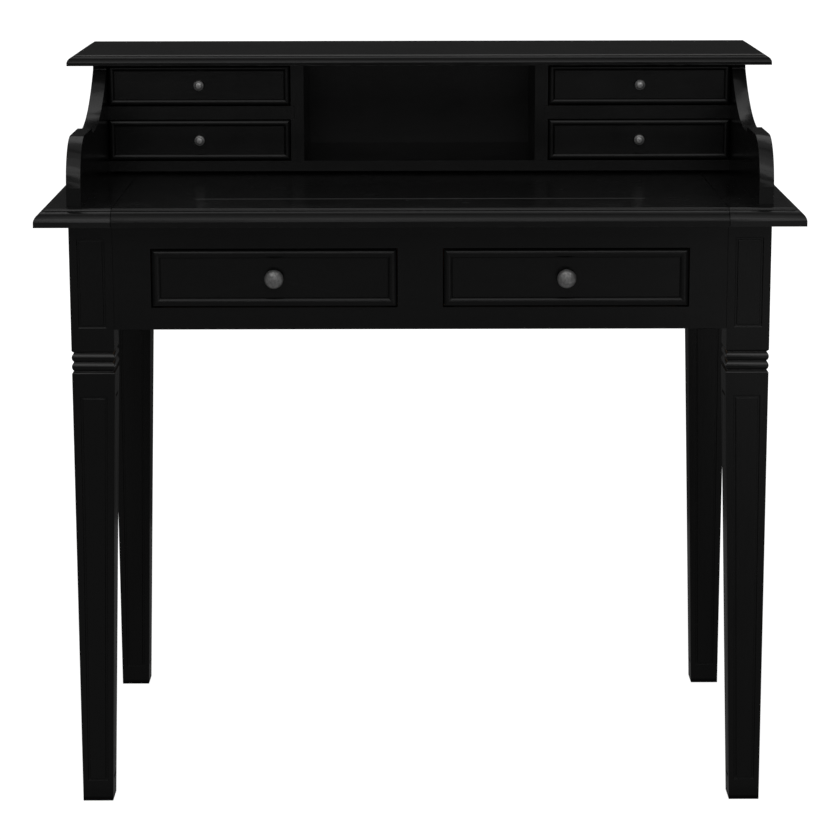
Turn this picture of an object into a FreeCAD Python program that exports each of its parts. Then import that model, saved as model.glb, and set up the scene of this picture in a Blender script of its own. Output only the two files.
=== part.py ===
import FreeCAD, Part
import math
import os
from collections import namedtuple
from FreeCAD import Vector

# A small writing desk with a raised back of drawers. Millimetres, +Z up, the front faces -Y.
# The origin is on the floor, under the middle of the desk top.

# Overall sizes
TOP_W = 960.0
TOP_D = 615.0
WRITING_H = 781.0
TOP_T = 22.0
SIDE_OVERHANG = 39.0
FRONT_OVERHANG = 39.0
BACK_OVERHANG = 18.0

# Moulded edge of the desk top: a straight lip, a round, a flat fillet, then a square with a rounded arris
EDGE_PROJECTION = 13.0
EDGE_FILLET = 2.0
EDGE_SQUARE = 0.8
EDGE_ARRIS = 2.6
EDGE_LIP = 2.2

# Moulded edge of the hutch top
HUTCH_EDGE_PROJECTION = 9.0
HUTCH_EDGE_FILLET = 2.0
HUTCH_EDGE_SQUARE = 0.8
HUTCH_EDGE_ARRIS = 1.6
HUTCH_EDGE_LIP = 1.2

# Desk top: breadboard ends on tongues, and a stopped pencil groove
BREADBOARD_W = 96.0
SEAM_GAP = 0.8
TONGUE_L = 14.0
TONGUE_T = 8.0
TONGUE_SETBACK = 8.0
PENCIL_GROOVE_L = 570.0
PENCIL_GROOVE_SET = 107.0
PENCIL_GROOVE_R = 4.0
PENCIL_GROOVE_DEPTH = 2.5

# Legs: a square block, two beads, then a taper on the inner faces
LEG_BLOCK = 54.5
LEG_FOOT = 39.0
BLOCK_DROP = 27.4
BEAD_COUNT = 2
BEAD_H = 11.7
BEAD_DEPTH = 3.0
BEAD_NECK = 2.6
PANEL_INSET = 10.0
PANEL_FOOT_INSET = 7.0
PANEL_GROOVE_W = 3.0
PANEL_GROOVE_DEPTH = 2.0
BLOCK_PANEL_TOP_GAP = 19.0
BLOCK_PANEL_FOOT_GAP = 30.0
TAPER_PANEL_TOP_GAP = 30.0
TAPER_PANEL_FOOT_GAP = 28.0

# Aprons and the frame round the two wide drawers
APRON_H = 135.0
APRON_T = 20.0
APRON_INSET = 1.5
TOP_RAIL_H = 32.0
BOTTOM_RAIL_H = 28.0
END_STILE_W = 47.5
CENTRE_STILE_W = 57.0
TENON_L = 20.0
TENON_T = 9.0
TENON_SHOULDER = 6.0
STUB_L = 9.0
FIT = 0.1

# Runners, guides, kickers and stops of the wide drawers
RUNNER_SEAT = 14.0
RUNNER_H = 18.0
GUIDE_T = 12.0
GUIDE_H = 18.0
KICKER_H = 16.0
STOP_L = 18.0
STOP_H = 14.0
STOP_GAP = 0.5
GLUE_BLOCK_H = 60.0
GLUE_BLOCK_CLEAR = 7.0

# Buttons that hold the desk top, and their screws
BUTTON_L = 34.0
BUTTON_W = 28.0
BUTTON_T = 15.0
BUTTON_TONGUE_L = 8.0
BUTTON_TONGUE_T = 7.0
BUTTON_SCREW_SET = 20.0
SIDE_BUTTON_SPREAD = 260.0
SCREW_R = 2.0
SCREW_HEAD_R = 4.0
SCREW_HEAD_H = 2.6
SCREW_BITE = 12.0
SCREW_SLOT_W = 1.0
SCREW_SLOT_DEPTH = 1.0

# Hutch
HUTCH_DEPTH = 237.5
HUTCH_BACK_INSET = 5.0
HUTCH_SIDE_T = 18.0
HUTCH_FOOT_GAP = 4.0
HUTCH_BOTTOM_T = 14.0
HUTCH_OPENING_H = 56.5
SHELF_T = 18.0
HUTCH_TOP_T = 14.0
HUTCH_TOP_SIDE_OVERHANG = 34.0
HUTCH_TOP_FRONT_OVERHANG = 24.0
PIGEONHOLE_W = 314.0
DIVIDER_T = 18.0
HUTCH_BACK_T = 8.0
BACK_REBATE = 8.0
HOUSING = 5.0
TOP_TENON_H = 6.0
TOP_TENON_T = 8.0
TOP_TENON_SETBACK = 14.0

# Outline of the hutch sides: head, concave sweep, nick and front lobe
SIDE_HEAD_SET = 10.0
SIDE_HEAD_ROUND = 6.0
SIDE_FOOT_SET = 27.5
SWEEP_SAG = 19.0
NICK_L = 11.0
NICK_H = 6.5
LOBE_L = 141.0
LOBE_H = 84.0
LOBE_R = 60.0

# Dowels under the hutch sides and screws in the hutch back
DOWEL_R = 4.0
DOWEL_L = 30.0
DOWEL_BITE = 14.0
DOWEL_COUNT = 3
DOWEL_END = 45.0
BACK_SCREW_R = 1.5
BACK_SCREW_HEAD_R = 3.0
BACK_SCREW_HEAD_H = 1.6
BACK_SCREW_BITE = 12.0
BACK_SCREW_COUNT = 3
BACK_SCREW_END = 18.0

# All drawers
DRAWER_GAP = 1.2
RUN_GAP = 0.3
SIDE_PLAY = 1.0
KNOB_SCREW_R = 1.6
KNOB_SCREW_HEAD_R = 3.2
KNOB_SCREW_HEAD_H = 1.8

# The two wide drawers
WIDE_REAR_ROOM = 115.0
WIDE_FRONT_T = 20.0
WIDE_LAP = 8.0
WIDE_RECESS = 3.0
WIDE_BEAD_W = 11.0
WIDE_BEAD_PROUD = 1.5
WIDE_BEAD_DOME = 2.6
WIDE_SIDE_T = 12.0
WIDE_SIDE_DROP = 10.0
WIDE_BACK_T = 12.0
WIDE_BACK_SET = 6.0
WIDE_BOTTOM_T = 6.0
WIDE_BOTTOM_UP = 9.0
WIDE_GROOVE = 6.0
WIDE_KNOB_R = 12.0
WIDE_KNOB_BITE = 11.0

# The four small drawers
SMALL_REAR_ROOM = 11.5
SMALL_FRONT_T = 15.0
SMALL_LAP = 6.0
SMALL_RECESS = 2.5
SMALL_BEAD_W = 8.0
SMALL_BEAD_PROUD = 1.0
SMALL_BEAD_DOME = 2.0
SMALL_SIDE_T = 8.0
SMALL_SIDE_DROP = 6.0
SMALL_BACK_T = 8.0
SMALL_BACK_SET = 4.0
SMALL_BOTTOM_T = 4.0
SMALL_BOTTOM_UP = 6.0
SMALL_GROOVE = 4.0
SMALL_KNOB_R = 7.0
SMALL_KNOB_BITE = 7.0

# A knob's outline, in shares of its radius: radius, then distance from the drawer front
KNOB_FOOT = (0.58, 0.14)
KNOB_NECK = (0.42, 0.42)
KNOB_COLLAR = (0.76, 0.704)
KNOB_RIM = (1.0, 1.12)
KNOB_SHOULDER = (0.776, 1.526)
KNOB_CROWN = (0.0, 1.75)

# Places worked out from the sizes
LEFT = -1
RIGHT = 1
FRONT_EDGE = -TOP_D / 2
BACK_EDGE = TOP_D / 2
TOP_UNDER = WRITING_H - TOP_T
LEG_X = TOP_W / 2 - SIDE_OVERHANG
LEG_INNER_X = LEG_X - LEG_BLOCK
LEG_FRONT = FRONT_EDGE + FRONT_OVERHANG
LEG_BACK = BACK_EDGE - BACK_OVERHANG
APRON_BOTTOM = TOP_UNDER - APRON_H
BLOCK_BOTTOM = APRON_BOTTOM - BLOCK_DROP
TAPER_TOP = BLOCK_BOTTOM - 2 * BEAD_NECK - BEAD_COUNT * BEAD_H
OPENING_TOP = TOP_UNDER - TOP_RAIL_H
OPENING_BOTTOM = APRON_BOTTOM + BOTTOM_RAIL_H
FRAME_FACE = LEG_FRONT + APRON_INSET
FRAME_BACK = FRAME_FACE + APRON_T
BACK_APRON_OUTER = LEG_BACK - APRON_INSET
BACK_APRON_INNER = BACK_APRON_OUTER - APRON_T
SIDE_APRON_OUTER = LEG_X - APRON_INSET
SIDE_APRON_INNER = SIDE_APRON_OUTER - APRON_T
OPENING_IN = CENTRE_STILE_W / 2
OPENING_OUT = LEG_INNER_X - END_STILE_W
SEAM_X = TOP_W / 2 - BREADBOARD_W
HUTCH_BACK = BACK_EDGE - HUTCH_BACK_INSET
HUTCH_FACE = HUTCH_BACK - HUTCH_DEPTH
HUTCH_X = LEG_X
HUTCH_INNER_X = HUTCH_X - HUTCH_SIDE_T
BACK_PANEL_FACE = HUTCH_BACK - HUTCH_BACK_T
HUTCH_FLOOR = WRITING_H + HUTCH_FOOT_GAP
LOWER_BAY = HUTCH_FLOOR + HUTCH_BOTTOM_T
SHELF_BOTTOM = LOWER_BAY + HUTCH_OPENING_H
UPPER_BAY = SHELF_BOTTOM + SHELF_T
HUTCH_HEAD = UPPER_BAY + HUTCH_OPENING_H
DIVIDER_INNER_X = PIGEONHOLE_W / 2
DIVIDER_OUTER_X = DIVIDER_INNER_X + DIVIDER_T
SIDE_FOOT_FRONT = FRONT_EDGE + SIDE_FOOT_SET
SIDE_HEAD_FRONT = HUTCH_FACE - SIDE_HEAD_SET
SIDE_MIDDLE_X = HUTCH_X - HUTCH_SIDE_T / 2
DOWEL_X = HUTCH_X - (HUTCH_SIDE_T - HOUSING) / 2
WIDE_LENGTH = BACK_APRON_INNER - FRAME_FACE - WIDE_REAR_ROOM
SMALL_LENGTH = BACK_PANEL_FACE - HUTCH_FACE - SMALL_REAR_ROOM

Edge = namedtuple("Edge", "projection fillet square arris lip")
DESK_EDGE = Edge(EDGE_PROJECTION, EDGE_FILLET, EDGE_SQUARE, EDGE_ARRIS, EDGE_LIP)
HUTCH_EDGE = Edge(HUTCH_EDGE_PROJECTION, HUTCH_EDGE_FILLET, HUTCH_EDGE_SQUARE, HUTCH_EDGE_ARRIS,
                  HUTCH_EDGE_LIP)

Drawer = namedtuple("Drawer", "length front_t lap recess bead_w bead_proud bead_dome side_t side_drop"
                              " back_t back_set bottom_t bottom_up groove knob_r knob_bite")
WIDE = Drawer(WIDE_LENGTH, WIDE_FRONT_T, WIDE_LAP, WIDE_RECESS, WIDE_BEAD_W, WIDE_BEAD_PROUD,
              WIDE_BEAD_DOME, WIDE_SIDE_T, WIDE_SIDE_DROP, WIDE_BACK_T, WIDE_BACK_SET, WIDE_BOTTOM_T,
              WIDE_BOTTOM_UP, WIDE_GROOVE, WIDE_KNOB_R, WIDE_KNOB_BITE)
SMALL = Drawer(SMALL_LENGTH, SMALL_FRONT_T, SMALL_LAP, SMALL_RECESS, SMALL_BEAD_W, SMALL_BEAD_PROUD,
               SMALL_BEAD_DOME, SMALL_SIDE_T, SMALL_SIDE_DROP, SMALL_BACK_T, SMALL_BACK_SET,
               SMALL_BOTTOM_T, SMALL_BOTTOM_UP, SMALL_GROOVE, SMALL_KNOB_R, SMALL_KNOB_BITE)


# Shape helpers
def in_xy(point):
    """Point of a plan."""
    return Vector(point[0], point[1], 0)


def in_xz(point):
    """Point of a front view."""
    return Vector(point[0], 0, point[1])


def in_yz(point):
    """Point of a side view."""
    return Vector(0, point[0], point[1])


def face_of(path, place):
    """Face inside a closed path of points; a pair of points is an arc through the first to the second."""
    edges = []
    here = path[0]
    for step in path[1:] + path[:1]:
        if isinstance(step[0], tuple):
            middle, end = step
            edges.append(Part.Arc(place(here), place(middle), place(end)).toShape())
        else:
            end = step
            edges.append(Part.LineSegment(place(here), place(end)).toShape())
        here = end
    return Part.Face(Part.Wire(edges))


def prism_along_x(path, x0, x1):
    """Side-view path run from x0 to x1."""
    prism = face_of(path, in_yz).extrude(Vector(x1 - x0, 0, 0))
    prism.translate(Vector(x0, 0, 0))
    return prism


def prism_along_y(path, y0, y1):
    """Front-view path run from y0 to y1."""
    prism = face_of(path, in_xz).extrude(Vector(0, y1 - y0, 0))
    prism.translate(Vector(0, y0, 0))
    return prism


def prism_along_z(path, z0, z1):
    """Plan path run from z0 to z1."""
    prism = face_of(path, in_xy).extrude(Vector(0, 0, z1 - z0))
    prism.translate(Vector(0, 0, z0))
    return prism


def box(x0, x1, y0, y1, z0, z1):
    """Box between two corners, given in any order along X."""
    low = min(x0, x1)
    return Part.makeBox(abs(x1 - x0), y1 - y0, z1 - z0, Vector(low, y0, z0))


def mirrored_x(shape):
    """Copy on the other side of the desk's middle."""
    return shape.mirror(Vector(0, 0, 0), Vector(1, 0, 0))


def joined(shapes):
    """One clean solid from pieces that share faces."""
    return shapes[0].fuse(shapes[1:]).removeSplitter()


def slotted_screw(shank_r, head_r, head_h, length, slot_depth):
    """Screw with its head below the origin and its shank rising along +Z."""
    shank = Part.makeCylinder(shank_r, length)
    head = Part.makeCylinder(head_r, head_h, Vector(0, 0, -head_h))
    slot = box(-head_r, head_r, -SCREW_SLOT_W / 2, SCREW_SLOT_W / 2, -head_h, -head_h + slot_depth)
    return joined([shank, head]).cut(slot)


# Desk top and hutch top
def edge_steps(edge, thickness):
    """Moulded edge from its foot to the top: (distance in, height), with both rounds as arcs."""
    share = math.sqrt(0.5)
    round_in = edge.projection - edge.fillet
    arris_foot = thickness - edge.arris
    fillet_z = arris_foot - edge.square
    round_middle = (round_in * (1 - share), edge.lip + (fillet_z - edge.lip) * share)
    arris_middle = (edge.projection + edge.arris * (1 - share), arris_foot + edge.arris * share)
    return [(0, 0), (0, edge.lip), (round_middle, (round_in, fillet_z)), (edge.projection, fillet_z),
            (edge.projection, arris_foot), (arris_middle, (edge.projection + edge.arris, thickness))]


def placed_steps(steps, origin, direction, z0):
    """Edge steps run inwards from an origin along one direction."""
    placed = []
    for step in steps:
        if isinstance(step[0], tuple):
            placed.append(tuple((origin + direction * a, z0 + b) for a, b in step))
        else:
            placed.append((origin + direction * step[0], z0 + step[1]))
    return placed


def reversed_steps(points):
    """The same outline walked backwards, with arcs turned round."""
    turned = []
    plain = [step[1] if isinstance(step[0], tuple) else step for step in points]
    for index in range(len(points) - 1, -1, -1):
        later = points[index + 1] if index + 1 < len(points) else plain[index]
        if isinstance(later[0], tuple):
            turned.append((later[0], plain[index]))
        else:
            turned.append(plain[index])
    return turned


def moulded_slab(half_w, y_front, y_back, z0, thickness, edge):
    """Board with its front and both ends moulded, mitred at the corners, and a plain back."""
    steps = edge_steps(edge, thickness)
    left = placed_steps(steps, -half_w, RIGHT, z0)
    right = reversed_steps(placed_steps(steps, half_w, LEFT, z0))
    front = placed_steps(steps, y_front, 1, z0)
    across = prism_along_y(left + right, y_front, y_back)
    along = prism_along_x(front + [(y_back, z0 + thickness), (y_back, z0)], -half_w, half_w)
    return across.common(along)


def tongue(side, grow):
    """Tongue at one end of the desk top panel, grown into its groove."""
    middle = TOP_UNDER + TOP_T / 2
    half = TONGUE_T / 2 + grow
    inset = EDGE_PROJECTION + TONGUE_SETBACK - grow
    return box(side * (SEAM_X - SEAM_GAP), side * (SEAM_X + TONGUE_L + grow), FRONT_EDGE + inset,
               BACK_EDGE - inset, middle - half, middle + half)


def pencil_groove():
    """Round-bottomed groove, stopped at both ends."""
    y = FRONT_EDGE + PENCIL_GROOVE_SET
    z = WRITING_H + PENCIL_GROOVE_R - PENCIL_GROOVE_DEPTH
    start = Vector(-PENCIL_GROOVE_L / 2, y, z)
    groove = Part.makeCylinder(PENCIL_GROOVE_R, PENCIL_GROOVE_L, start, Vector(1, 0, 0))
    stops = [Vector(side * PENCIL_GROOVE_L / 2, y, z) for side in (LEFT, RIGHT)]
    return groove.fuse([Part.makeSphere(PENCIL_GROOVE_R, stop) for stop in stops])


def dowel_places():
    """Middle of each dowel on the writing surface."""
    first = SIDE_FOOT_FRONT + DOWEL_END
    step = (HUTCH_BACK - DOWEL_END - first) / (DOWEL_COUNT - 1)
    rows = [first + index * step for index in range(DOWEL_COUNT)]
    return [(side * DOWEL_X, y) for side in (LEFT, RIGHT) for y in rows]


def dowels(grow):
    """Dowels between the desk top and the hutch sides, grown into their holes."""
    length = DOWEL_L + 2 * grow
    base = WRITING_H - DOWEL_BITE - grow
    return [Part.makeCylinder(DOWEL_R + grow, length, Vector(x, y, base)) for x, y in dowel_places()]


def desk_top():
    """Panel and breadboard ends, with the holes for dowels and button screws."""
    slab = moulded_slab(TOP_W / 2, FRONT_EDGE, BACK_EDGE, TOP_UNDER, TOP_T, DESK_EDGE)
    holes = dowels(FIT) + button_screw_holes()
    half = SEAM_X - SEAM_GAP / 2
    middle = slab.common(box(-half, half, FRONT_EDGE, BACK_EDGE, TOP_UNDER, WRITING_H))
    panel = joined([middle, tongue(LEFT, 0), tongue(RIGHT, 0)]).cut(pencil_groove()).cut(holes)
    pieces = {"desk_top_panel": panel}
    for side, word in ((LEFT, "left"), (RIGHT, "right")):
        seam = SEAM_X + SEAM_GAP / 2
        zone = box(side * seam, side * TOP_W / 2, FRONT_EDGE, BACK_EDGE, TOP_UNDER, WRITING_H)
        end = slab.common(zone).cut(tongue(side, FIT)).cut(holes)
        pieces["breadboard_end_" + word] = end
    return pieces


# Legs and aprons
def leg_outline():
    """Front view of a leg with its outer face at 0: foot, inner taper, beads, block and back down."""
    grooves = [TAPER_TOP + BEAD_NECK + index * BEAD_H for index in range(BEAD_COUNT + 1)]
    path = [(0, 0), (LEG_FOOT, 0), (LEG_BLOCK, TAPER_TOP), (LEG_BLOCK - BEAD_DEPTH, grooves[0])]
    for z in grooves[1:]:
        path.append(((LEG_BLOCK, z - BEAD_H / 2), (LEG_BLOCK - BEAD_DEPTH, z)))
    path += [(LEG_BLOCK, BLOCK_BOTTOM), (LEG_BLOCK, TOP_UNDER), (0, TOP_UNDER), (0, BLOCK_BOTTOM)]
    path.append((BEAD_DEPTH, grooves[-1]))
    for z in reversed(grooves[:-1]):
        path.append(((0, z + BEAD_H / 2), (BEAD_DEPTH, z)))
    path.append((0, TAPER_TOP))
    return path


def leg_width(z):
    """Width of the tapered part at a height."""
    return LEG_FOOT + (LEG_BLOCK - LEG_FOOT) * z / TAPER_TOP


def sunk_frame(low, high, low_edges, high_edges, depth):
    """Groove round a panel on the face Y = 0, between two heights with their left and right edges."""
    def quad(inset):
        return [(low_edges[0] + inset, low + inset), (low_edges[1] - inset, low + inset),
                (high_edges[1] - inset, high - inset), (high_edges[0] + inset, high - inset)]
    return prism_along_y(quad(0), 0, depth).cut(prism_along_y(quad(PANEL_GROOVE_W), 0, depth))


def leg_panel_grooves():
    """Grooves on the faces that look along Y: block and taper outside, taper alone inside."""
    low = TAPER_PANEL_FOOT_GAP
    high = TAPER_TOP - TAPER_PANEL_TOP_GAP
    low_edges = (PANEL_FOOT_INSET, leg_width(low) - PANEL_FOOT_INSET)
    high_edges = (PANEL_INSET, leg_width(high) - PANEL_INSET)
    block_edges = (PANEL_INSET, LEG_BLOCK - PANEL_INSET)
    block = sunk_frame(BLOCK_BOTTOM + BLOCK_PANEL_FOOT_GAP, TOP_UNDER - BLOCK_PANEL_TOP_GAP, block_edges,
                       block_edges, PANEL_GROOVE_DEPTH)
    outer = sunk_frame(low, high, low_edges, high_edges, PANEL_GROOVE_DEPTH)
    through = sunk_frame(low, high, low_edges, high_edges, LEG_BLOCK)
    skin = [(LEG_FOOT - PANEL_GROOVE_DEPTH, 0), (LEG_FOOT, 0), (LEG_BLOCK, TAPER_TOP),
            (LEG_BLOCK - PANEL_GROOVE_DEPTH, TAPER_TOP)]
    inner = through.common(prism_along_x(skin, 0, LEG_BLOCK))
    return [block, outer, inner]


def plain_leg():
    """Leg with its outer corner at the origin, before its mortises."""
    path = leg_outline()
    leg = prism_along_y(path, 0, LEG_BLOCK).common(prism_along_x(path, 0, LEG_BLOCK))
    grooves = leg_panel_grooves()
    grooves += [groove.mirror(Vector(0, 0, 0), Vector(1, -1, 0)) for groove in grooves]
    return leg.cut(grooves)


def rail_tenon(side, y0, z0, z1, grow):
    """Tenon at one end of a rail that runs along X."""
    middle = y0 + APRON_T / 2
    half = TENON_T / 2 + grow
    return box(side * LEG_INNER_X, side * (LEG_INNER_X + TENON_L + grow), middle - half, middle + half,
               z0 + TENON_SHOULDER - grow, z1 - TENON_SHOULDER + grow)


def rail(y0, z0, z1):
    """Rail along X between two legs, with a tenon at each end."""
    body = box(-LEG_INNER_X, LEG_INNER_X, y0, y0 + APRON_T, z0, z1)
    return joined([body] + [rail_tenon(side, y0, z0, z1, 0) for side in (LEFT, RIGHT)])


def side_apron_tenons(side, grow):
    """Both tenons of a side apron, which runs along Y."""
    middle = side * (SIDE_APRON_INNER + SIDE_APRON_OUTER) / 2
    half = TENON_T / 2 + grow
    low = APRON_BOTTOM + TENON_SHOULDER - grow
    high = TOP_UNDER - TENON_SHOULDER + grow
    near = LEG_FRONT + LEG_BLOCK
    far = LEG_BACK - LEG_BLOCK
    return [box(middle - half, middle + half, near - TENON_L - grow, near, low, high),
            box(middle - half, middle + half, far, far + TENON_L + grow, low, high)]


def stile_spans():
    """Left and right edge of each stile in the drawer frame: the two ends, then the centre."""
    return [(-LEG_INNER_X, -OPENING_OUT), (OPENING_OUT, LEG_INNER_X), (-OPENING_IN, OPENING_IN)]


def stile_stubs(span, grow):
    """Stub tenons above and below a stile."""
    middle = FRAME_FACE + APRON_T / 2
    half = TENON_T / 2 + grow
    x0 = span[0] + TENON_SHOULDER - grow
    x1 = span[1] - TENON_SHOULDER + grow
    return [box(x0, x1, middle - half, middle + half, OPENING_BOTTOM - STUB_L - grow, OPENING_BOTTOM),
            box(x0, x1, middle - half, middle + half, OPENING_TOP, OPENING_TOP + STUB_L + grow)]


def stile(span):
    """Upright between the rails of the drawer frame."""
    body = box(span[0], span[1], FRAME_FACE, FRAME_BACK, OPENING_BOTTOM, OPENING_TOP)
    return joined([body] + stile_stubs(span, 0))


def legs():
    """Four legs, mortised for the rails and aprons."""
    mortises = []
    for side in (LEFT, RIGHT):
        mortises += [rail_tenon(side, FRAME_FACE, OPENING_TOP, TOP_UNDER, FIT),
                     rail_tenon(side, FRAME_FACE, APRON_BOTTOM, OPENING_BOTTOM, FIT),
                     rail_tenon(side, BACK_APRON_INNER, APRON_BOTTOM, TOP_UNDER, FIT)]
        mortises += side_apron_tenons(side, FIT)
    front_left = plain_leg()
    front_left.translate(Vector(-LEG_X, LEG_FRONT, 0))
    back_left = front_left.mirror(Vector(0, (LEG_FRONT + LEG_BACK) / 2, 0), Vector(0, 1, 0))
    return {"leg_front_left": front_left.cut(mortises), "leg_back_left": back_left.cut(mortises),
            "leg_front_right": mirrored_x(front_left).cut(mortises),
            "leg_back_right": mirrored_x(back_left).cut(mortises)}


def drawer_frame():
    """Rails and stiles round the two wide drawers."""
    spans = stile_spans()
    stubs = [stub for span in spans for stub in stile_stubs(span, FIT)]
    top_rail = rail(FRAME_FACE, OPENING_TOP, TOP_UNDER).cut(stubs).cut(button_slots())
    bottom_rail = rail(FRAME_FACE, APRON_BOTTOM, OPENING_BOTTOM).cut(stubs)
    return {"front_top_rail": top_rail, "front_bottom_rail": bottom_rail,
            "front_end_stiles": Part.makeCompound([stile(span) for span in spans[:2]]),
            "front_centre_stile": stile(spans[2])}


def aprons():
    """Side and back aprons, slotted for the buttons."""
    slots = button_slots()
    pieces = {"back_apron": rail(BACK_APRON_INNER, APRON_BOTTOM, TOP_UNDER).cut(slots)}
    for side, word in ((LEFT, "left"), (RIGHT, "right")):
        body = box(side * SIDE_APRON_INNER, side * SIDE_APRON_OUTER, LEG_FRONT + LEG_BLOCK,
                   LEG_BACK - LEG_BLOCK, APRON_BOTTOM, TOP_UNDER)
        pieces["side_apron_" + word] = joined([body] + side_apron_tenons(side, 0)).cut(slots)
    return pieces


# Inside the apron
def drawer_tracks():
    """Opening edge of each drawer side, with the way from the opening out to its guide."""
    return [(-OPENING_OUT, LEFT), (-OPENING_IN, RIGHT), (OPENING_IN, LEFT), (OPENING_OUT, RIGHT)]


def track_bars(inner, outer, y0, y1, z0, z1):
    """One bar for each drawer side, reaching inner into the opening and outer past its edge."""
    return Part.makeCompound([box(edge - out * inner, edge + out * outer, y0, y1, z0, z1)
                              for edge, out in drawer_tracks()])


def drawer_track_pieces():
    """Runners, guides, kickers and stops of the wide drawers."""
    y0 = FRAME_BACK
    y1 = BACK_APRON_INNER
    stop_y = FRAME_FACE + WIDE_LENGTH + STOP_GAP
    floor = OPENING_BOTTOM
    return {"drawer_runners": track_bars(RUNNER_SEAT, GUIDE_T, y0, y1, floor - RUNNER_H, floor),
            "drawer_guides": track_bars(0, GUIDE_T, y0, y1, floor, floor + GUIDE_H),
            "drawer_kickers": track_bars(RUNNER_SEAT, GUIDE_T, y0, y1, OPENING_TOP, OPENING_TOP + KICKER_H),
            "drawer_stops": track_bars(RUNNER_SEAT, 0, stop_y, stop_y + STOP_L, floor, floor + STOP_H)}


def corner_blocks():
    """Glue blocks in the angles between the legs and the front and back."""
    leg = END_STILE_W - GUIDE_T - GLUE_BLOCK_CLEAR
    blocks = []
    for side in (LEFT, RIGHT):
        for y, inwards in ((FRAME_BACK, 1), (BACK_APRON_INNER, -1)):
            corner = (side * LEG_INNER_X, y)
            path = [corner, (side * (LEG_INNER_X - leg), y), (side * LEG_INNER_X, y + inwards * leg)]
            blocks.append(prism_along_z(path, TOP_UNDER - GLUE_BLOCK_H, TOP_UNDER))
    return Part.makeCompound(blocks)


def button_places():
    """Middle of each button on the apron's inner face, and the turn that points it inwards."""
    drawer_x = (OPENING_IN + OPENING_OUT) / 2
    side_y = (LEG_FRONT + LEG_BACK) / 2
    places = []
    for side in (LEFT, RIGHT):
        places += [(side * drawer_x, FRAME_BACK, 90), (side * drawer_x, BACK_APRON_INNER, -90)]
        for end in (LEFT, RIGHT):
            places.append((side * SIDE_APRON_INNER, side_y + end * SIDE_BUTTON_SPREAD / 2, 90 + side * 90))
    return places


def at_buttons(shape):
    """Copy of a shape at each button; +X of the shape points away from the apron."""
    copies = []
    for x, y, turn in button_places():
        copy = shape.copy()
        copy.rotate(Vector(0, 0, 0), Vector(0, 0, 1), turn)
        copy.translate(Vector(x, y, 0))
        copies.append(copy)
    return copies


def button_tongue(grow):
    """Tongue of a button, grown into its slot in the apron."""
    floor = TOP_UNDER - BUTTON_T
    return box(-BUTTON_TONGUE_L - grow, 0, -BUTTON_W / 2 - grow, BUTTON_W / 2 + grow, floor - grow,
               floor + BUTTON_TONGUE_T + grow)


def button_slots():
    """Slots in the aprons for the buttons' tongues."""
    return at_buttons(button_tongue(FIT))


def button_screw_holes():
    """Holes for the button screws, through the buttons and into the desk top."""
    base = Vector(BUTTON_SCREW_SET, 0, TOP_UNDER - BUTTON_T)
    return at_buttons(Part.makeCylinder(SCREW_R + FIT, BUTTON_T + SCREW_BITE + FIT, base))


def top_buttons():
    """Wooden buttons under the desk top and the screws that hold them."""
    body = box(0, BUTTON_L, -BUTTON_W / 2, BUTTON_W / 2, TOP_UNDER - BUTTON_T, TOP_UNDER)
    button = joined([body, button_tongue(0)])
    screw = slotted_screw(SCREW_R, SCREW_HEAD_R, SCREW_HEAD_H, BUTTON_T + SCREW_BITE, SCREW_SLOT_DEPTH)
    screw.translate(Vector(BUTTON_SCREW_SET, 0, TOP_UNDER - BUTTON_T))
    holes = button_screw_holes()
    return {"top_buttons": Part.makeCompound([piece.cut(holes) for piece in at_buttons(button)]),
            "top_button_screws": Part.makeCompound(at_buttons(screw))}


# Hutch
def hutch_side_outline():
    """Side view of a hutch side, from its back foot over the head and the lobe to its front foot."""
    share = SIDE_HEAD_ROUND * (1 - math.sqrt(0.5))
    lobe_top = WRITING_H + LOBE_H
    cusp = SIDE_FOOT_FRONT + LOBE_L
    head = (SIDE_HEAD_FRONT, HUTCH_HEAD - SIDE_HEAD_ROUND)
    valley = (cusp + NICK_L, lobe_top - NICK_H)
    run = valley[0] - head[0]
    fall = valley[1] - head[1]
    chord = math.hypot(run, fall)
    sweep = ((head[0] + valley[0]) / 2 - SWEEP_SAG * fall / chord,
             (head[1] + valley[1]) / 2 + SWEEP_SAG * run / chord)
    lobe_share = LOBE_R * (1 - math.sqrt(0.5))
    lobe_middle = (SIDE_FOOT_FRONT + lobe_share, lobe_top - lobe_share)
    return [(HUTCH_BACK, WRITING_H), (HUTCH_BACK, HUTCH_HEAD),
            (SIDE_HEAD_FRONT + SIDE_HEAD_ROUND, HUTCH_HEAD),
            ((SIDE_HEAD_FRONT + share, HUTCH_HEAD - share), head), (sweep, valley), (cusp, lobe_top),
            (SIDE_FOOT_FRONT + LOBE_R, lobe_top), (lobe_middle, (SIDE_FOOT_FRONT, lobe_top - LOBE_R)),
            (SIDE_FOOT_FRONT, WRITING_H)]


def top_tenon(x, grow):
    """Tenon on top of an upright of the hutch, grown into the hutch top."""
    half = TOP_TENON_T / 2 + grow
    return box(x - half, x + half, HUTCH_FACE + TOP_TENON_SETBACK - grow,
               BACK_PANEL_FACE - TOP_TENON_SETBACK + grow, HUTCH_HEAD, HUTCH_HEAD + TOP_TENON_H + grow)


def divider_foot(side, grow):
    """Tenon under a divider, grown into the hutch bottom."""
    middle = side * (DIVIDER_INNER_X + DIVIDER_T / 2)
    half = TOP_TENON_T / 2 + grow
    return box(middle - half, middle + half, HUTCH_FACE + TOP_TENON_SETBACK - grow,
               BACK_PANEL_FACE - TOP_TENON_SETBACK + grow, LOWER_BAY - HOUSING - grow, LOWER_BAY)


def hutch_board(x0, x1, z0, z1, grow):
    """Level board of the hutch, from the drawer fronts back to the back panel."""
    return box(x0, x1, HUTCH_FACE, BACK_PANEL_FACE, z0 - grow, z1 + grow)


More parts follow.
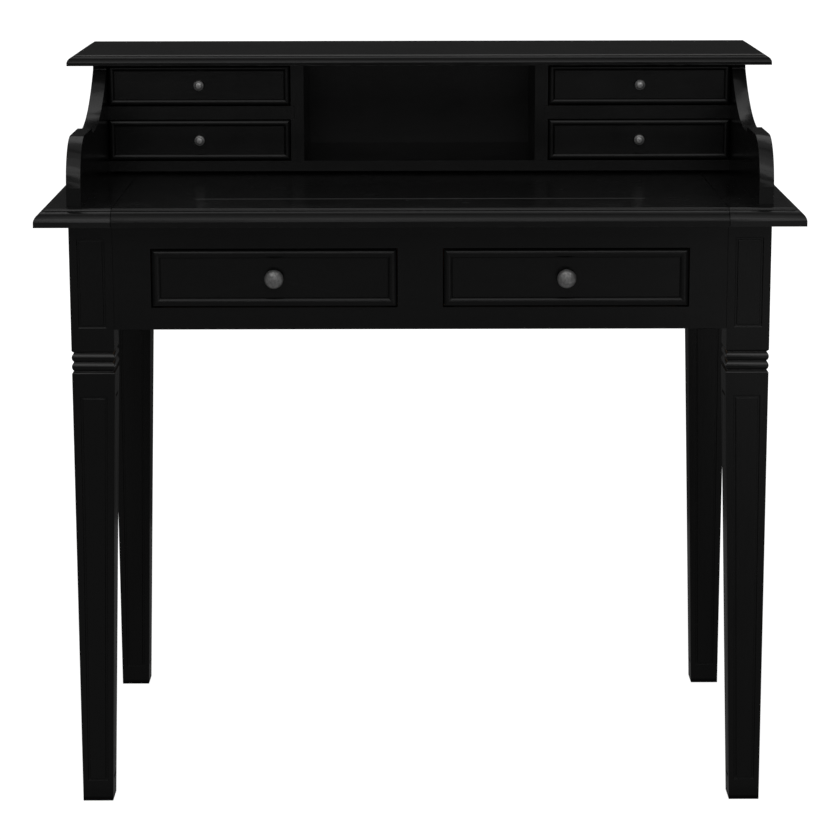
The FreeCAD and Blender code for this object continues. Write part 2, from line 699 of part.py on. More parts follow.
def hutch_floor(grow):
    """Bottom board, housed in both sides."""
    reach = HUTCH_INNER_X + HOUSING
    return hutch_board(-reach - grow, reach + grow, HUTCH_FLOOR, LOWER_BAY, grow)


def hutch_shelf(side, grow):
    """Shelf between two drawers, housed in the divider and the side."""
    return hutch_board(side * (DIVIDER_OUTER_X - HOUSING - grow), side * (HUTCH_INNER_X + HOUSING + grow),
                       SHELF_BOTTOM, UPPER_BAY, grow)


def back_screw_places():
    """Middle of each back screw: up both sides, then along the bottom board."""
    side_x = HUTCH_INNER_X + BACK_REBATE / 2
    low = HUTCH_FLOOR + BACK_SCREW_END
    rise = (HUTCH_HEAD - BACK_SCREW_END - low) / (BACK_SCREW_COUNT - 1)
    pitch = 2 * DIVIDER_OUTER_X / (BACK_SCREW_COUNT - 1)
    floor_z = HUTCH_FLOOR + HUTCH_BOTTOM_T / 2
    heights = [low + index * rise for index in range(BACK_SCREW_COUNT)]
    places = [(side * side_x, z) for side in (LEFT, RIGHT) for z in heights]
    return places + [(index * pitch - DIVIDER_OUTER_X, floor_z) for index in range(BACK_SCREW_COUNT)]


def at_back_screws(shape):
    """Copy of an upright shape at each back screw, pointing forwards from the back panel."""
    copies = []
    for x, z in back_screw_places():
        copy = shape.copy()
        copy.rotate(Vector(0, 0, 0), Vector(1, 0, 0), 90)
        copy.translate(Vector(x, HUTCH_BACK, z))
        copies.append(copy)
    return copies


def back_screw_holes():
    """Holes for the back screws."""
    length = HUTCH_BACK_T + BACK_SCREW_BITE + FIT
    return at_back_screws(Part.makeCylinder(BACK_SCREW_R + FIT, length))


def hutch_sides():
    """Shaped sides with their rebates, housings, tenons and holes."""
    body = prism_along_x(hutch_side_outline(), HUTCH_INNER_X, HUTCH_X)
    rebate = box(HUTCH_INNER_X, HUTCH_INNER_X + BACK_REBATE, BACK_PANEL_FACE, HUTCH_BACK, WRITING_H,
                 HUTCH_HEAD)
    housings = [hutch_floor(FIT), hutch_shelf(RIGHT, FIT)]
    right = joined([body, top_tenon(SIDE_MIDDLE_X, 0)]).cut([rebate] + housings)
    holes = dowels(FIT) + back_screw_holes()
    return {"hutch_side_left": mirrored_x(right).cut(holes), "hutch_side_right": right.cut(holes)}


def hutch_carcass():
    """Top, bottom, back, dividers, shelves and dowels of the hutch."""
    holes = back_screw_holes()
    middle = DIVIDER_INNER_X + DIVIDER_T / 2
    uprights = (-SIDE_MIDDLE_X, -middle, middle, SIDE_MIDDLE_X)
    top = moulded_slab(HUTCH_X + HUTCH_TOP_SIDE_OVERHANG, HUTCH_FACE - HUTCH_TOP_FRONT_OVERHANG, HUTCH_BACK,
                       HUTCH_HEAD, HUTCH_TOP_T, HUTCH_EDGE)
    reach = HUTCH_INNER_X + BACK_REBATE
    screw = slotted_screw(BACK_SCREW_R, BACK_SCREW_HEAD_R, BACK_SCREW_HEAD_H,
                          HUTCH_BACK_T + BACK_SCREW_BITE, BACK_SCREW_HEAD_H / 2)
    floor_mortises = [divider_foot(side, FIT) for side in (LEFT, RIGHT)]
    back = box(-reach, reach, BACK_PANEL_FACE, HUTCH_BACK, HUTCH_FLOOR, HUTCH_HEAD)
    pieces = {"hutch_top": top.cut([top_tenon(x, FIT) for x in uprights]),
              "hutch_bottom": hutch_floor(0).cut(floor_mortises).cut(holes),
              "hutch_back": back.cut(holes),
              "hutch_back_screws": Part.makeCompound(at_back_screws(screw)),
              "hutch_dowels": Part.makeCompound(dowels(0))}
    for side, word in ((LEFT, "left"), (RIGHT, "right")):
        body = box(side * DIVIDER_INNER_X, side * DIVIDER_OUTER_X, HUTCH_FACE, BACK_PANEL_FACE, LOWER_BAY,
                   HUTCH_HEAD)
        divider = joined([body, top_tenon(side * middle, 0), divider_foot(side, 0)])
        pieces["hutch_divider_" + word] = divider.cut(hutch_shelf(side, FIT))
        pieces["hutch_shelf_" + word] = hutch_shelf(side, 0).cut(holes)
    return pieces


# Drawers
def bead_outline(width, thickness, dome):
    """Domed section of the beading: (in from its outer edge, out from the drawer front)."""
    shoulder = thickness - dome
    return [(0, 0), (0, shoulder), ((width / 2, thickness), (width, shoulder)), (width, 0)]


def mapped(path, change):
    """A path with every point changed, arcs included."""
    return [tuple(change(p) for p in step) if isinstance(step[0], tuple) else change(step) for step in path]


def beading(sizes, left, right, low, high, field_y):
    """Four mitred strips round a drawer front."""
    width = sizes.bead_w
    thickness = sizes.recess + sizes.bead_proud
    section = bead_outline(width, thickness, sizes.bead_dome)
    upper = prism_along_x(mapped(section, lambda p: (field_y - p[1], high - p[0])), left, right)
    upright = prism_along_z(mapped(section, lambda p: (left + p[0], field_y - p[1])), low, high)
    upper_mitre = [(left, high), (right, high), (right - width, high - width), (left + width, high - width)]
    upright_mitre = [(left, low), (left, high), (left + width, high - width), (left + width, low + width)]
    top_strip = upper.common(prism_along_y(upper_mitre, field_y - 2 * thickness, field_y))
    left_strip = upright.common(prism_along_y(upright_mitre, field_y - 2 * thickness, field_y))
    bottom_strip = top_strip.mirror(Vector(0, 0, (low + high) / 2), Vector(0, 0, 1))
    right_strip = left_strip.mirror(Vector((left + right) / 2, 0, 0), Vector(1, 0, 0))
    return Part.makeCompound([top_strip, bottom_strip, left_strip, right_strip])


def crown_middle(shoulder, crown):
    """Middle of the knob's cap, a part of a ball whose middle is on the knob's axis."""
    reach, height = shoulder
    centre = (crown[1] ** 2 - height ** 2 - reach ** 2) / (2 * (crown[1] - height))
    half_angle = math.atan2(reach, height - centre) / 2
    ball_r = crown[1] - centre
    return ball_r * math.sin(half_angle), centre + ball_r * math.cos(half_angle)


def knob_with_screw(sizes, x, z, field_y, inner_y):
    """Turned knob on a drawer front, and the screw that holds it from inside."""
    crown = (crown_middle(KNOB_SHOULDER, KNOB_CROWN), KNOB_CROWN)
    outline = [(0, 0), (KNOB_FOOT[0], 0), KNOB_FOOT, (KNOB_NECK, KNOB_COLLAR),
               (KNOB_RIM, KNOB_SHOULDER), crown]
    path = mapped(outline, lambda p: (sizes.knob_r * p[0], -sizes.knob_r * p[1]))
    turned = face_of(path, in_xy).revolve(Vector(0, 0, 0), Vector(0, 1, 0), 360)
    thread = Part.makeCylinder(KNOB_SCREW_R + FIT, sizes.knob_bite + FIT, Vector(0, 0, 0), Vector(0, -1, 0))
    knob = turned.cut(thread)
    knob.translate(Vector(x, field_y, z))
    length = inner_y - field_y + sizes.knob_bite
    screw = slotted_screw(KNOB_SCREW_R, KNOB_SCREW_HEAD_R, KNOB_SCREW_HEAD_H, length, KNOB_SCREW_HEAD_H / 2)
    screw.rotate(Vector(0, 0, 0), Vector(1, 0, 0), 90)
    screw.translate(Vector(x, inner_y, z))
    return Part.makeCompound([knob, screw])


def drawer(sizes, x0, x1, z0, z1, face_y):
    """Pieces of one drawer that fills an opening, with its beading just proud of face_y."""
    left = x0 + DRAWER_GAP
    right = x1 - DRAWER_GAP
    low = z0 + DRAWER_GAP
    high = z1 - DRAWER_GAP
    field_y = face_y + sizes.recess
    inner_y = field_y + sizes.front_t
    lap_y = field_y + sizes.lap
    rear_y = face_y + sizes.length
    side_left = left + SIDE_PLAY
    side_right = right - SIDE_PLAY
    well_left = side_left + sizes.side_t
    well_right = side_right - sizes.side_t
    run_z = z0 + RUN_GAP
    side_top = z1 - sizes.side_drop
    floor = run_z + sizes.bottom_up
    ceiling = floor + sizes.bottom_t
    knob_x = (left + right) / 2
    knob_z = (low + high) / 2
    groove = box(well_left - sizes.groove, well_right + sizes.groove, inner_y - sizes.groove, rear_y,
                 floor - FIT, ceiling + FIT)
    knob_hole = Part.makeCylinder(KNOB_SCREW_R + FIT, sizes.front_t, Vector(knob_x, field_y, knob_z),
                                  Vector(0, 1, 0))
    rebates = [box(left, well_left + FIT, lap_y - FIT, inner_y, low, high),
               box(well_right - FIT, right, lap_y - FIT, inner_y, low, high)]
    front = box(left, right, field_y, inner_y, low, high).cut(rebates + [groove, knob_hole])
    side_pair = [box(side_left, well_left, lap_y, rear_y, run_z, side_top).cut(groove),
                 box(well_right, side_right, lap_y, rear_y, run_z, side_top).cut(groove)]
    back_y = rear_y - sizes.back_set
    back = box(well_left, well_right, back_y - sizes.back_t, back_y, ceiling, side_top)
    reach = sizes.groove - FIT
    bottom = box(well_left - reach, well_right + reach, inner_y - reach, back_y, floor, ceiling)
    return {"front": front, "beading": beading(sizes, left, right, low, high, field_y),
            "sides": side_pair, "back": back, "bottom": bottom,
            "knob": knob_with_screw(sizes, knob_x, knob_z, field_y, inner_y)}


def wide_drawers():
    """The two drawers in the apron."""
    pieces = {}
    for word, x0, x1 in (("left", -OPENING_OUT, -OPENING_IN), ("right", OPENING_IN, OPENING_OUT)):
        made = drawer(WIDE, x0, x1, OPENING_BOTTOM, OPENING_TOP, FRAME_FACE)
        made["sides"] = Part.makeCompound(made["sides"])
        for name, shape in made.items():
            pieces["wide_drawer_" + word + "_" + name] = shape
    return pieces


def small_drawers():
    """The four drawers in the hutch; the sides, back and bottom of each share a node as its box."""
    pieces = {}
    bays = (("lower", LOWER_BAY), ("upper", UPPER_BAY))
    ends = (("left", -HUTCH_INNER_X, -DIVIDER_OUTER_X), ("right", DIVIDER_OUTER_X, HUTCH_INNER_X))
    for level, z0 in bays:
        for word, x0, x1 in ends:
            made = drawer(SMALL, x0, x1, z0, z0 + HUTCH_OPENING_H, HUTCH_FACE)
            stem = "small_drawer_" + level + "_" + word + "_"
            made["box"] = Part.makeCompound(made.pop("sides") + [made.pop("back"), made.pop("bottom")])
            for name, shape in made.items():
                pieces[stem + name] = shape
    return pieces


def main():
    """Build every piece and write one file for each."""
    pieces = {}
    for group in (legs(), drawer_frame(), aprons(), drawer_track_pieces(), desk_top(), top_buttons(),
                  hutch_sides(), hutch_carcass(), wide_drawers(), small_drawers()):
        pieces.update(group)
    pieces["corner_blocks"] = corner_blocks()
    os.makedirs("parts", exist_ok=True)
    for name, shape in pieces.items():
        shape.exportStep("parts/" + name + ".step")
    print(len(pieces), "pieces written")


main()
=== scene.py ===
"""Looks of a small black-painted writing desk with a raised back of drawers, on its CAD frame."""

import functools
import logging
import math
from dataclasses import dataclass
from enum import Enum
from typing import Optional, Union

import bpy
from mathutils import Matrix, Vector

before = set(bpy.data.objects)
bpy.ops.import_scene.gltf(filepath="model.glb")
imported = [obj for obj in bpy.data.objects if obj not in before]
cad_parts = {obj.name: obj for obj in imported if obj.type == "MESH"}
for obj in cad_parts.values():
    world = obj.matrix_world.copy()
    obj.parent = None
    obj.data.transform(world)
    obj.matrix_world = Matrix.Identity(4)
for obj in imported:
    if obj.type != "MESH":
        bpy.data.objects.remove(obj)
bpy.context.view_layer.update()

MM = 0.001
LOG = logging.getLogger("writing_desk")

Colour = tuple[float, float, float]
Point = tuple[float, float, float]
Input = Union[float, tuple, bpy.types.NodeSocket]


class Grain(Enum):
    """Direction that the wood fibres of a board run in."""

    ALONG_X = 0
    ALONG_Y = 1
    ALONG_Z = 2

    def stretch(self, along: float) -> Point:
        """Give the scale of a pattern that is drawn out along the fibres.

        Args:
            along: scale along the fibres, where 1 isn't drawn out.

        Returns:
            Scale along X, Y and Z.
        """
        scale = [1.0, 1.0, 1.0]
        scale[self.value] = along
        return tuple(scale)


class Effect(Enum):
    """Shader node groups that the finishes share."""

    WOOD_GRAIN = "wood_grain"
    PAINT_FILM = "paint_film"
    RUBBED_EDGES = "rubbed_edges"
    POLISHED_ROUNDS = "polished_rounds"
    SETTLED_DUST = "settled_dust"
    AXIS_RINGS = "axis_rings"


class Side(Enum):
    """Side of the desk, seen from the front."""

    LEFT = "left"
    RIGHT = "right"


class Tier(Enum):
    """Row of small drawers."""

    LOWER = "lower"
    UPPER = "upper"


class Graph:
    """A node tree with short ways to add nodes and join them."""

    def __init__(self, tree: bpy.types.NodeTree) -> None:
        """Start on a tree.

        Args:
            tree: tree of a material, a world or a node group.
        """
        self.tree = tree

    def add(self, kind: str, **settings: object) -> bpy.types.Node:
        """Add a shader node.

        Args:
            kind: name of the node's type, without its ShaderNode prefix.
            settings: properties to set on it.

        Returns:
            The new node.
        """
        node = self.tree.nodes.new("ShaderNode" + kind)
        for name, value in settings.items():
            setattr(node, name, value)
        return node

    def put(self, node: bpy.types.Node, socket: Union[str, int], value: Input) -> None:
        """Join a socket to an input, or set the input's own value.

        Args:
            node: node that takes the value.
            socket: name or number of its input.
            value: a socket to join, or a plain value.
        """
        target = node.inputs[socket]
        if isinstance(value, bpy.types.NodeSocket):
            self.tree.links.new(value, target)
        else:
            target.default_value = value

    def number(self, operation: str, first: Input, second: Input = 0.0) -> bpy.types.NodeSocket:
        """Add a Math node.

        Args:
            operation: name of the operation.
            first: first number.
            second: second number.

        Returns:
            The result.
        """
        node = self.add("Math", operation=operation)
        self.put(node, 0, first)
        self.put(node, 1, second)
        return node.outputs[0]

    def vector(self, operation: str, first: Input, second: Input) -> bpy.types.NodeSocket:
        """Add a Vector Math node.

        Args:
            operation: name of the operation.
            first: first vector.
            second: second vector.

        Returns:
            The result, a vector or, for a dot product or a length, a number.
        """
        node = self.add("VectorMath", operation=operation)
        self.put(node, 0, first)
        self.put(node, 1, second)
        return node.outputs["Value" if operation in ("DOT_PRODUCT", "LENGTH") else "Vector"]

    def noise(self, place: Input, scale: Input, detail: float,
              distortion: float = 0.0) -> bpy.types.NodeSocket:
        """Add a noise pattern.

        Args:
            place: coordinates.
            scale: cells per unit of the coordinates.
            detail: octaves.
            distortion: how much the pattern is twisted.

        Returns:
            A value about 0.5.
        """
        node = self.add("TexNoise")
        self.put(node, "Vector", place)
        self.put(node, "Scale", scale)
        self.put(node, "Detail", detail)
        self.put(node, "Distortion", distortion)
        return node.outputs["Fac"]

    def spread(self, value: Input, low: float, high: float, to_low: Input = 0.0,
               to_high: Input = 1.0) -> bpy.types.NodeSocket:
        """Map a range of values to another, cut off at its ends.

        Args:
            value: value to map.
            low: value that maps to to_low.
            high: value that maps to to_high.
            to_low: result at low.
            to_high: result at high.

        Returns:
            The mapped value.
        """
        node = self.add("MapRange", clamp=True)
        self.put(node, "Value", value)
        self.put(node, "From Min", low)
        self.put(node, "From Max", high)
        self.put(node, "To Min", to_low)
        self.put(node, "To Max", to_high)
        return node.outputs["Result"]

    def blend(self, share: Input, first: Input, second: Input) -> bpy.types.NodeSocket:
        """Mix two colours.

        Args:
            share: share of the second colour.
            first: colour at share 0, as three numbers or a socket.
            second: colour at share 1, as three numbers or a socket.

        Returns:
            The mixed colour.
        """
        node = self.add("Mix", data_type="RGBA", clamp_factor=True)
        self.put(node, 0, share)
        for number, colour in ((6, first), (7, second)):
            self.put(node, number, (*colour, 1.0) if isinstance(colour, tuple) else colour)
        return node.outputs[2]

    def effect(self, effect: Effect, **values: Input) -> bpy.types.Node:
        """Place a shared node group.

        Args:
            effect: which group.
            values: its inputs, with an underscore for each space in a name.

        Returns:
            The group node.
        """
        node = self.add("Group", node_tree=effect_group(effect))
        for name, value in values.items():
            self.put(node, name.replace("_", " "), value)
        return node


def open_group(effect: Effect, inputs: dict[str, str],
               outputs: list[str]) -> tuple[Graph, bpy.types.Node, bpy.types.Node]:
    """Make an empty node group with its sockets.

    Args:
        effect: effect that the group is for.
        inputs: socket type of each input, by name.
        outputs: names of the outputs, all plain values.

    Returns:
        The group's graph, its input node and its output node.
    """
    tree = bpy.data.node_groups.new(effect.value, "ShaderNodeTree")
    for name, kind in inputs.items():
        tree.interface.new_socket(name=name, in_out="INPUT", socket_type=kind)
    for name in outputs:
        tree.interface.new_socket(name=name, in_out="OUTPUT", socket_type="NodeSocketFloat")
    return Graph(tree), tree.nodes.new("NodeGroupInput"), tree.nodes.new("NodeGroupOutput")


def wood_grain_group() -> bpy.types.NodeTree:
    """Build the grain of a board: growth figure, fine fibres and short pores.

    Returns:
        The node group.
    """
    furthest_shift = (3.7, 5.3, 4.1)
    ring_count = 9.0
    pore_fineness = 2.3
    graph, given, result = open_group(
        Effect.WOOD_GRAIN,
        {"Place": "NodeSocketVector", "Stretch": "NodeSocketVector", "Figure Scale": "NodeSocketFloat",
         "Fibre Scale": "NodeSocketFloat"},
        ["Figure", "Fibre", "Pores"])
    chance = graph.add("ObjectInfo").outputs["Random"]
    shift = graph.vector("MULTIPLY", chance, furthest_shift)
    moved = graph.vector("ADD", given.outputs["Place"], shift)
    drawn = graph.vector("MULTIPLY", moved, given.outputs["Stretch"])
    growth = graph.noise(drawn, given.outputs["Figure Scale"], 2.0, 0.4)
    rings = graph.number("PINGPONG", graph.number("MULTIPLY", growth, ring_count), 0.5)
    fibre = graph.noise(drawn, given.outputs["Fibre Scale"], 3.0)
    pore_scale = graph.number("MULTIPLY", given.outputs["Fibre Scale"], pore_fineness)
    dashes = graph.noise(drawn, pore_scale, 1.0)
    graph.put(result, "Figure", graph.spread(rings, 0.05, 0.45))
    graph.put(result, "Fibre", graph.spread(fibre, 0.3, 0.7))
    graph.put(result, "Pores", graph.spread(dashes, 0.62, 0.72))
    return graph.tree


def paint_film_group() -> bpy.types.NodeTree:
    """Build the skin of a sprayed coat: a fine peel, and patches of uneven gloss.

    Returns:
        The node group.
    """
    patch_scale = 17.0
    graph, given, result = open_group(
        Effect.PAINT_FILM, {"Place": "NodeSocketVector", "Peel Scale": "NodeSocketFloat"},
        ["Peel", "Patches"])
    graph.put(result, "Peel", graph.noise(given.outputs["Place"], given.outputs["Peel Scale"], 2.0))
    patches = graph.noise(given.outputs["Place"], patch_scale, 4.0, 0.5)
    graph.put(result, "Patches", graph.spread(patches, 0.35, 0.65))
    return graph.tree


def rubbed_edges_group() -> bpy.types.NodeTree:
    """Build the mask of edges that hands have rubbed, broken up along their length.

    Returns:
        The node group.
    """
    break_scale = 60.0
    graph, given, result = open_group(
        Effect.RUBBED_EDGES,
        {"Place": "NodeSocketVector", "Reach": "NodeSocketFloat", "Amount": "NodeSocketFloat"},
        ["Rubbed"])
    rounded = graph.add("Bevel", samples=4)
    graph.put(rounded, "Radius", given.outputs["Reach"])
    facing = graph.add("NewGeometry").outputs["Normal"]
    likeness = graph.vector("DOT_PRODUCT", rounded.outputs["Normal"], facing)
    turn = graph.number("SUBTRACT", 1.0, likeness)
    edge = graph.spread(turn, 0.02, 0.2)
    broken = graph.spread(graph.noise(given.outputs["Place"], break_scale, 4.0), 0.42, 0.66)
    rubbed = graph.number("MULTIPLY", edge, broken)
    graph.put(result, "Rubbed", graph.number("MULTIPLY", rubbed, given.outputs["Amount"]))
    return graph.tree


def polish_and_painted_highlight_group() -> bpy.types.NodeTree:
    """Build the mask of rounds that look up, in a band of height, for a painted highlight and a clear
    coat.

    Returns:
        The node group.
    """
    graph, given, result = open_group(
        Effect.POLISHED_ROUNDS,
        {"Place": "NodeSocketVector", "Top": "NodeSocketFloat", "Depth": "NodeSocketFloat"},
        ["Polish And Highlight"])
    parts = graph.add("SeparateXYZ")
    graph.put(parts, 0, given.outputs["Place"])
    below = graph.number("SUBTRACT", given.outputs["Top"], parts.outputs["Z"])
    share = graph.number("DIVIDE", below, given.outputs["Depth"])
    near = graph.spread(share, 0.85, 1.1, 1.0, 0.0)
    facing = graph.add("NewGeometry").outputs["Normal"]
    rise = graph.vector("DOT_PRODUCT", facing, (0.0, 0.0, 1.0))
    upward = graph.spread(rise, 0.02, 0.1)
    not_level = graph.spread(rise, 0.97, 0.999, 1.0, 0.0)
    slope = graph.number("MULTIPLY", upward, not_level)
    graph.put(result, "Polish And Highlight", graph.number("MULTIPLY", near, slope))
    return graph.tree


def settled_dust_group() -> bpy.types.NodeTree:
    """Build the mask of dust that lies on faces that look up.

    Returns:
        The node group.
    """
    cloud_scale = 11.0
    graph, given, result = open_group(
        Effect.SETTLED_DUST, {"Place": "NodeSocketVector", "Amount": "NodeSocketFloat"}, ["Dust"])
    facing = graph.add("NewGeometry").outputs["Normal"]
    level = graph.spread(graph.vector("DOT_PRODUCT", facing, (0.0, 0.0, 1.0)), 0.75, 1.0)
    clouds = graph.spread(graph.noise(given.outputs["Place"], cloud_scale, 6.0), 0.35, 0.75)
    settled = graph.number("MULTIPLY", level, clouds)
    graph.put(result, "Dust", graph.number("MULTIPLY", settled, given.outputs["Amount"]))
    return graph.tree


def axis_rings_group() -> bpy.types.NodeTree:
    """Build the mask of a dark centre dot and a dark ring round the axis of a knob.

    Returns:
        The node group, for coordinates from 0 to 1 across the knob.
    """
    crest = 0.32
    middle = (0.5, 0.5, 0.5)
    graph, given, result = open_group(Effect.AXIS_RINGS, {"Place": "NodeSocketVector"}, ["Groove"])
    centred = graph.vector("SUBTRACT", given.outputs["Place"], middle)
    across = graph.vector("MULTIPLY", centred, (2.0, 0.0, 2.0))
    reach = graph.vector("LENGTH", across, (0.0, 0.0, 0.0))
    wave = graph.number("PINGPONG", reach, crest)
    graph.put(result, "Groove", graph.spread(wave, 0.03, 0.16, 1.0, 0.0))
    return graph.tree


@functools.cache
def effect_group(effect: Effect) -> bpy.types.NodeTree:
    """Give a shared node group, built once.

    Args:
        effect: which group.

    Returns:
        The node group.
    """
    makers = {
        Effect.WOOD_GRAIN: wood_grain_group,
        Effect.PAINT_FILM: paint_film_group,
        Effect.RUBBED_EDGES: rubbed_edges_group,
        Effect.POLISHED_ROUNDS: polish_and_painted_highlight_group,
        Effect.SETTLED_DUST: settled_dust_group,
        Effect.AXIS_RINGS: axis_rings_group,
    }
    return makers[effect]()


def new_material(name: str) -> tuple[bpy.types.Material, Graph, bpy.types.Node, bpy.types.NodeSocket]:
    """Make a material with a Principled shader.

    Args:
        name: name of the material.

    Returns:
        The material, its graph, its shader and the coordinates of a piece in metres.
    """
    material = bpy.data.materials.new(name)
    material.use_nodes = True
    graph = Graph(material.node_tree)
    shader = material.node_tree.nodes["Principled BSDF"]
    place = graph.add("TexCoord").outputs["Object"]
    return material, graph, shader, place


def raise_surface(graph: Graph, shader: bpy.types.Node, height: bpy.types.NodeSocket,
                  depth: float) -> None:
    """Give a shader a bump.

    Args:
        graph: graph of the material.
        shader: shader that takes the normal.
        height: height from 0 to 1.
        depth: depth of the bump in metres.
    """
    bump = graph.add("Bump")
    graph.put(bump, "Strength", 1.0)
    graph.put(bump, "Distance", depth)
    graph.put(bump, "Height", height)
    graph.put(shader, "Normal", bump.outputs["Normal"])


@dataclass(frozen=True)
class PolishAndHighlight:
    """Clear coat and painted highlight on the rounds that look up, down to a depth below the top of a
    piece.
    """

    node: str
    depth: float
    strength: float

    def top(self) -> float:
        """Give the height of the piece's highest point in metres."""
        return max(corner[2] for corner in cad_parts[self.node].bound_box)


@dataclass(frozen=True)
class BlackPaint:
    """Satin black paint on wood: grain that shows through, uneven gloss, rubbed edges, a little dust,
    and painted highlights on rounds that look up, where a band is given.
    """

    name: str
    gloss: float
    ground: Colour = (0.0070, 0.0070, 0.0070)
    streak: Colour = (0.0088, 0.0088, 0.0087)
    undercoat_and_highlight: Colour = (0.034, 0.0336, 0.033)
    dust: Colour = (0.050, 0.050, 0.0495)
    specular: float = 0.5
    wear: float = 0.5
    polish_and_highlight: Optional[PolishAndHighlight] = None
    polish_rough: float = 0.12
    dustiness: float = 0.012
    rub_reach: float = 1.6 * MM
    grain_stretch: float = 0.05
    figure_scale: float = 9.0
    fibre_scale: float = 420.0
    peel_scale: float = 900.0
    gloss_range: tuple[float, float] = (-0.02, 0.03)
    worn_rough: float = 0.12
    fibre_rough: float = 0.03
    peel_share: float = 0.35
    relief: float = 0.012 * MM

    @functools.cache
    def material(self, grain: Grain) -> bpy.types.Material:
        """Build the paint for one grain direction.

        Args:
            grain: direction of the fibres under the paint.

        Returns:
            The material.
        """
        material, graph, shader, place = new_material(f"{self.name}_{grain.name.lower()}")
        wood = graph.effect(Effect.WOOD_GRAIN, Place=place, Stretch=grain.stretch(self.grain_stretch),
                            Figure_Scale=self.figure_scale, Fibre_Scale=self.fibre_scale)
        film = graph.effect(Effect.PAINT_FILM, Place=place, Peel_Scale=self.peel_scale)
        edges = graph.effect(Effect.RUBBED_EDGES, Place=place, Reach=self.rub_reach, Amount=self.wear)
        dust = graph.effect(Effect.SETTLED_DUST, Place=place, Amount=self.dustiness)
        streaks = graph.number("MULTIPLY", wood.outputs["Fibre"], wood.outputs["Figure"])
        coloured = graph.blend(streaks, self.ground, self.streak)
        rubbed = graph.blend(edges.outputs["Rubbed"], coloured, self.undercoat_and_highlight)
        # Painted highlight: rounds that look up near the piece's top are lightened towards the undercoat
        # colour; the same mask sets a clear coat.
        if self.polish_and_highlight is not None:
            rounds = graph.effect(Effect.POLISHED_ROUNDS, Place=place, Top=self.polish_and_highlight.top(),
                                  Depth=self.polish_and_highlight.depth)
            polish_and_highlight_share = graph.number("MULTIPLY", rounds.outputs["Polish And Highlight"], self.polish_and_highlight.strength)
            graph.put(shader, "Coat Weight", polish_and_highlight_share)
            shader.inputs["Coat Roughness"].default_value = self.polish_rough
            rubbed = graph.blend(polish_and_highlight_share, rubbed, self.undercoat_and_highlight)
        graph.put(shader, "Base Color", graph.blend(dust.outputs["Dust"], rubbed, self.dust))
        glossiest, dullest = (self.gloss + change for change in self.gloss_range)
        uneven = graph.spread(film.outputs["Patches"], 0.0, 1.0, glossiest, dullest)
        worn = graph.number("MULTIPLY", edges.outputs["Rubbed"], self.worn_rough)
        fibres = graph.number("MULTIPLY", wood.outputs["Fibre"], self.fibre_rough)
        graph.put(shader, "Roughness", graph.number("ADD", graph.number("ADD", uneven, worn), fibres))
        shader.inputs["Specular IOR Level"].default_value = self.specular
        peel = graph.number("MULTIPLY", film.outputs["Peel"], self.peel_share)
        raised = graph.number("ADD", wood.outputs["Fibre"], peel)
        height = graph.number("SUBTRACT", raised, wood.outputs["Pores"])
        raise_surface(graph, shader, height, self.relief)
        return material


@dataclass(frozen=True)
class BareWood:
    """Planed wood with no finish: growth figure, fibres and dark pores."""

    name: str
    early: Colour
    late: Colour
    pore: Colour
    rough: float = 0.62
    dust: Colour = (0.45, 0.42, 0.38)
    specular: float = 0.3
    wear: float = 0.35
    dustiness: float = 0.08
    rub_reach: float = 1.2 * MM
    grain_stretch: float = 0.06
    figure_scale: float = 7.0
    fibre_scale: float = 300.0
    figure_share: float = 0.7
    fibre_share: float = 0.3
    pore_share: float = 0.6
    rough_range: tuple[float, float] = (-0.06, 0.08)
    relief: float = 0.05 * MM

    @functools.cache
    def material(self, grain: Grain) -> bpy.types.Material:
        """Build the wood for one grain direction.

        Args:
            grain: direction of the fibres.

        Returns:
            The material.
        """
        material, graph, shader, place = new_material(f"{self.name}_{grain.name.lower()}")
        wood = graph.effect(Effect.WOOD_GRAIN, Place=place, Stretch=grain.stretch(self.grain_stretch),
                            Figure_Scale=self.figure_scale, Fibre_Scale=self.fibre_scale)
        edges = graph.effect(Effect.RUBBED_EDGES, Place=place, Reach=self.rub_reach, Amount=self.wear)
        dust = graph.effect(Effect.SETTLED_DUST, Place=place, Amount=self.dustiness)
        figure = graph.number("MULTIPLY", wood.outputs["Figure"], self.figure_share)
        fibres = graph.number("MULTIPLY", wood.outputs["Fibre"], self.fibre_share)
        plain = graph.blend(graph.number("ADD", figure, fibres), self.early, self.late)
        pores = graph.number("MULTIPLY", wood.outputs["Pores"], self.pore_share)
        pored = graph.blend(pores, plain, self.pore)
        handled = graph.blend(edges.outputs["Rubbed"], pored, self.early)
        graph.put(shader, "Base Color", graph.blend(dust.outputs["Dust"], handled, self.dust))
        smoothest, roughest = (self.rough + change for change in self.rough_range)
        graph.put(shader, "Roughness",
                  graph.spread(wood.outputs["Fibre"], 0.0, 1.0, smoothest, roughest))
        shader.inputs["Specular IOR Level"].default_value = self.specular
        height = graph.number("SUBTRACT", wood.outputs["Fibre"], wood.outputs["Pores"])
        raise_surface(graph, shader, height, self.relief)
        return material


